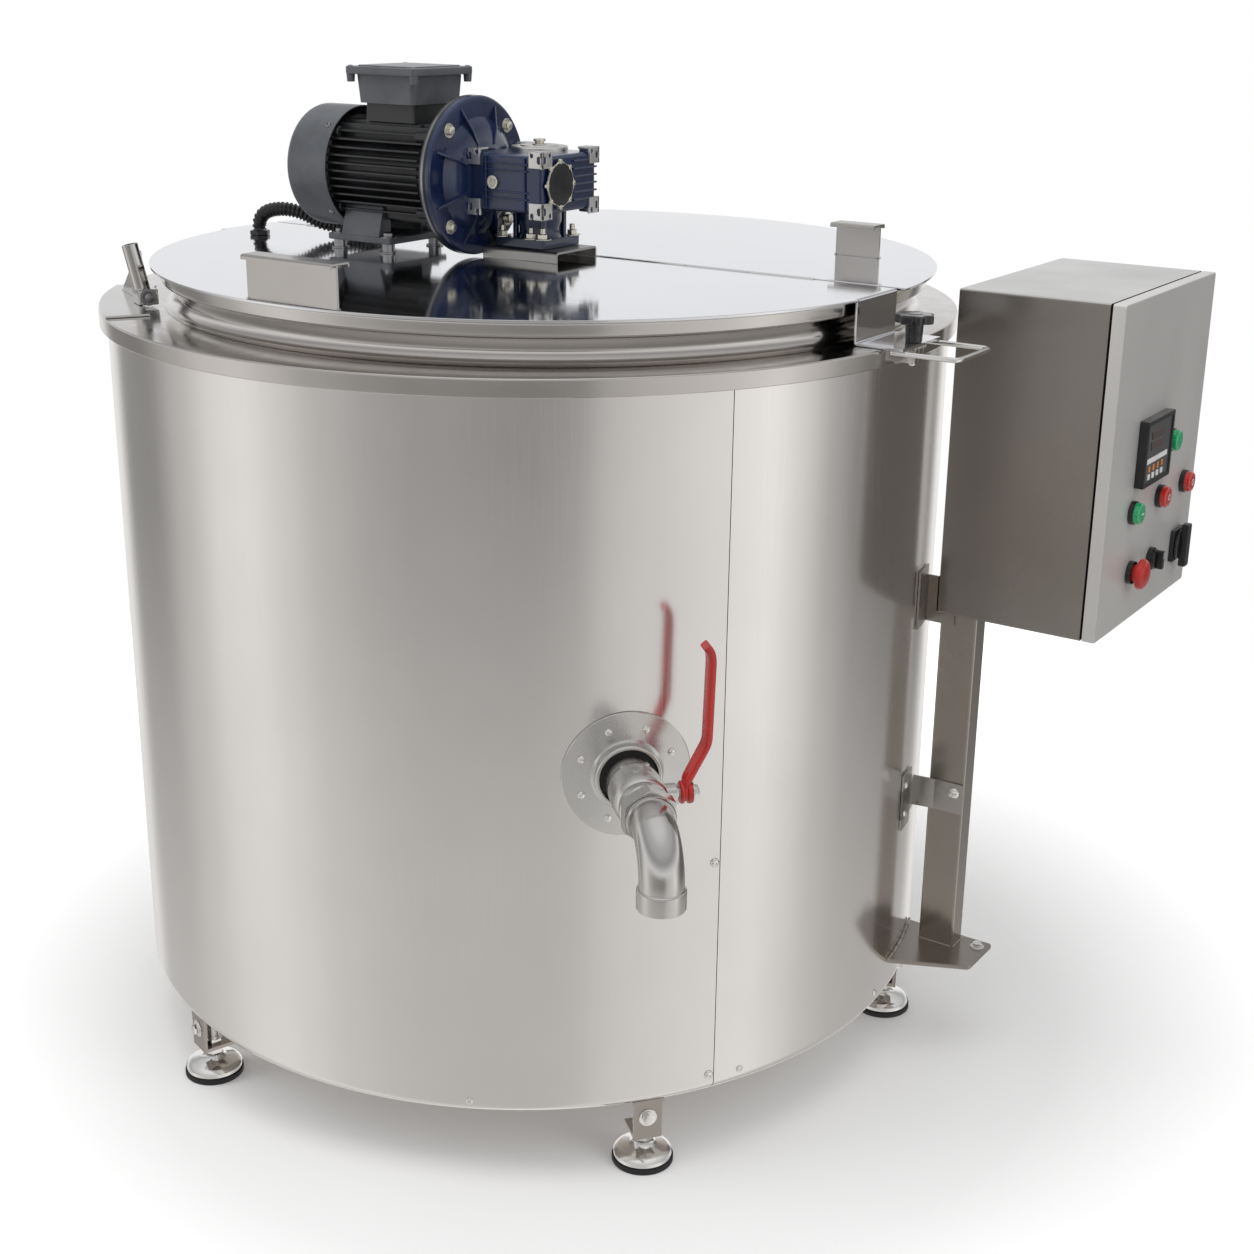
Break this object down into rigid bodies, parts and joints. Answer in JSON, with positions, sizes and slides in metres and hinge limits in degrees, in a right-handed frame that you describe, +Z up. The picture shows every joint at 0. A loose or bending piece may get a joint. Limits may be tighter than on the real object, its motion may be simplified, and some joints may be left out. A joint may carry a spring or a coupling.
{
  "type": "bulk milk tank",
  "caption": "Round stainless milk tank on levelling feet with a split lid, geared agitator drive, ball-valve outlet and a control cabinet on its own column.",
  "frame": {"origin": "centre of the whole object's footprint, on the floor", "axes": "+X from the lid hinge towards the control cabinet, +Z up, the outlet points between +X and -Y"},
  "size_m": [1.3256, 1.0992, 1.2713],
  "materials": {
    "steel": "fine vertical brush, satin",
    "bright_steel": "polished",
    "navy_paint": "satin paint",
    "motor_paint": "satin paint on cast ribs",
    "cover_paint": "satin paint",
    "red_sleeve": "dipped sleeve",
    "red_plastic": "gloss",
    "green_plastic": "gloss",
    "black_plastic": "matte",
    "rubber": "matte",
    "foam": "closed-cell foam",
    "copper": "plain drawn tube",
    "bronze": "machined",
    "dark_steel": "machined"
  },
  "bodies": {
    "tank": {"outer_shell": "steel", "base_frame": "steel", "insulation": "foam", "jacket_vessel": "steel", "evaporator_coil": "copper", "inner_vessel": "steel", "top_rim": "steel", "outlet_pipe": "steel", "outlet_rosette": "steel", "outlet_seal": "rubber", "valve_body": "steel", "valve_nut": "steel", "outlet_elbow": "steel", "levelling_foot_1": "bright_steel", "levelling_foot_2": "bright_steel", "levelling_foot_3": "bright_steel", "levelling_foot_4": "bright_steel", "levelling_foot_5": "bright_steel", "foot_rubber_1": "rubber", "foot_rubber_2": "rubber", "foot_rubber_3": "rubber", "foot_rubber_4": "rubber", "foot_rubber_5": "rubber", "column": "steel", "column_bracket": "steel", "cabinet_body": "steel", "mounting_plate": "steel", "lid_post": "steel", "lid_hinge": "steel"},
    "front_lid_assembly": {"front_lid": "steel", "front_handle": "steel", "wire_handle": "bright_steel", "flap_hinge": "steel", "drive_channel": "steel", "gearbox_housing": "navy_paint", "motor_body": "motor_paint", "fan_cover": "cover_paint", "terminal_box": "cover_paint", "conduit": "black_plastic"},
    "rear_lid_assembly": {"rear_lid": "steel", "rear_handle": "steel"},
    "clamp": {"clamp_knob": "black_plastic"},
    "agitator": {"agitator_shaft": "bright_steel", "agitator_paddle": "steel", "worm_wheel": "bronze"},
    "rotor": {"motor_rotor": "dark_steel", "motor_fan": "black_plastic", "worm": "dark_steel"},
    "valve": {"valve_lever": "red_sleeve", "valve_stem": "bright_steel", "valve_ball": "bright_steel"},
    "door": {"cabinet_door": "steel", "controller": "black_plastic", "indicator_lamp": "green_plastic"},
    "start": {"start_button": "green_plastic"},
    "stop": {"stop_button": "red_plastic"},
    "reset": {"reset_button": "red_plastic"},
    "emergency": {"emergency_stop": "red_plastic"},
    "selector": {"selector_switch": "black_plastic"},
    "isolator": {"main_switch": "black_plastic"}
  },
  "joints": [
    {"name": "lid_tilt", "type": "hinge", "parent": "tank", "child": "front_lid_assembly", "pos_m": [-0.6132, -0.025, 1.025], "axis": [0, -1, 0], "range_deg": [0, 75]},
    {"name": "rear_lid_hinge", "type": "hinge", "parent": "front_lid_assembly", "child": "rear_lid_assembly", "pos_m": [-0.1132, 0.028, 1.0383], "axis": [1, 0, 0], "range_deg": [0, 75]},
    {"name": "clamp_turn", "type": "hinge", "parent": "front_lid_assembly", "child": "clamp", "pos_m": [0.4458, -0.025, 1], "axis": [0, 0, 1], "continuous": true},
    {"name": "motor_spin", "type": "hinge", "parent": "front_lid_assembly", "child": "rotor", "pos_m": [-0.2632, -0.07, 1.1405], "axis": [1, 0, 0], "continuous": true},
    {"name": "agitator_spin", "type": "hinge", "parent": "front_lid_assembly", "child": "agitator", "pos_m": [-0.0832, -0.025, 1], "axis": [0, 0, 1], "continuous": true},
    {"name": "valve_turn", "type": "hinge", "parent": "tank", "child": "valve", "pos_m": [0.32849, -0.40746, 0.533], "axis": [0.6984, 0.7157, 0], "range_deg": [0, 90]},
    {"name": "door_hinge", "type": "hinge", "parent": "tank", "child": "door", "pos_m": [0.6213, 0.4615, 0.82], "axis": [0, 0, 1], "range_deg": [0, 115]},
    {"name": "start_press", "type": "slide", "parent": "door", "child": "start", "axis": [-1, 0, 0], "range_m": [0, 0.004], "stiffness_N_per_m": 600},
    {"name": "stop_press", "type": "slide", "parent": "door", "child": "stop", "axis": [-1, 0, 0], "range_m": [0, 0.004], "stiffness_N_per_m": 600},
    {"name": "reset_press", "type": "slide", "parent": "door", "child": "reset", "axis": [-1, 0, 0], "range_m": [0, 0.004], "stiffness_N_per_m": 600},
    {"name": "emergency_push", "type": "slide", "parent": "door", "child": "emergency", "axis": [-1, 0, 0], "range_m": [0, 0.005]},
    {"name": "selector_turn", "type": "hinge", "parent": "door", "child": "selector", "pos_m": [0.6383, 0.31, 0.683], "axis": [1, 0, 0], "range_deg": [-45, 45]},
    {"name": "isolator_turn", "type": "hinge", "parent": "door", "child": "isolator", "pos_m": [0.6383, 0.41, 0.679], "axis": [1, 0, 0], "range_deg": [0, 90]}
  ],
  "couplings": [
    {"joint": "agitator_spin", "follows": "motor_spin", "ratio": 0.02}
  ]
}
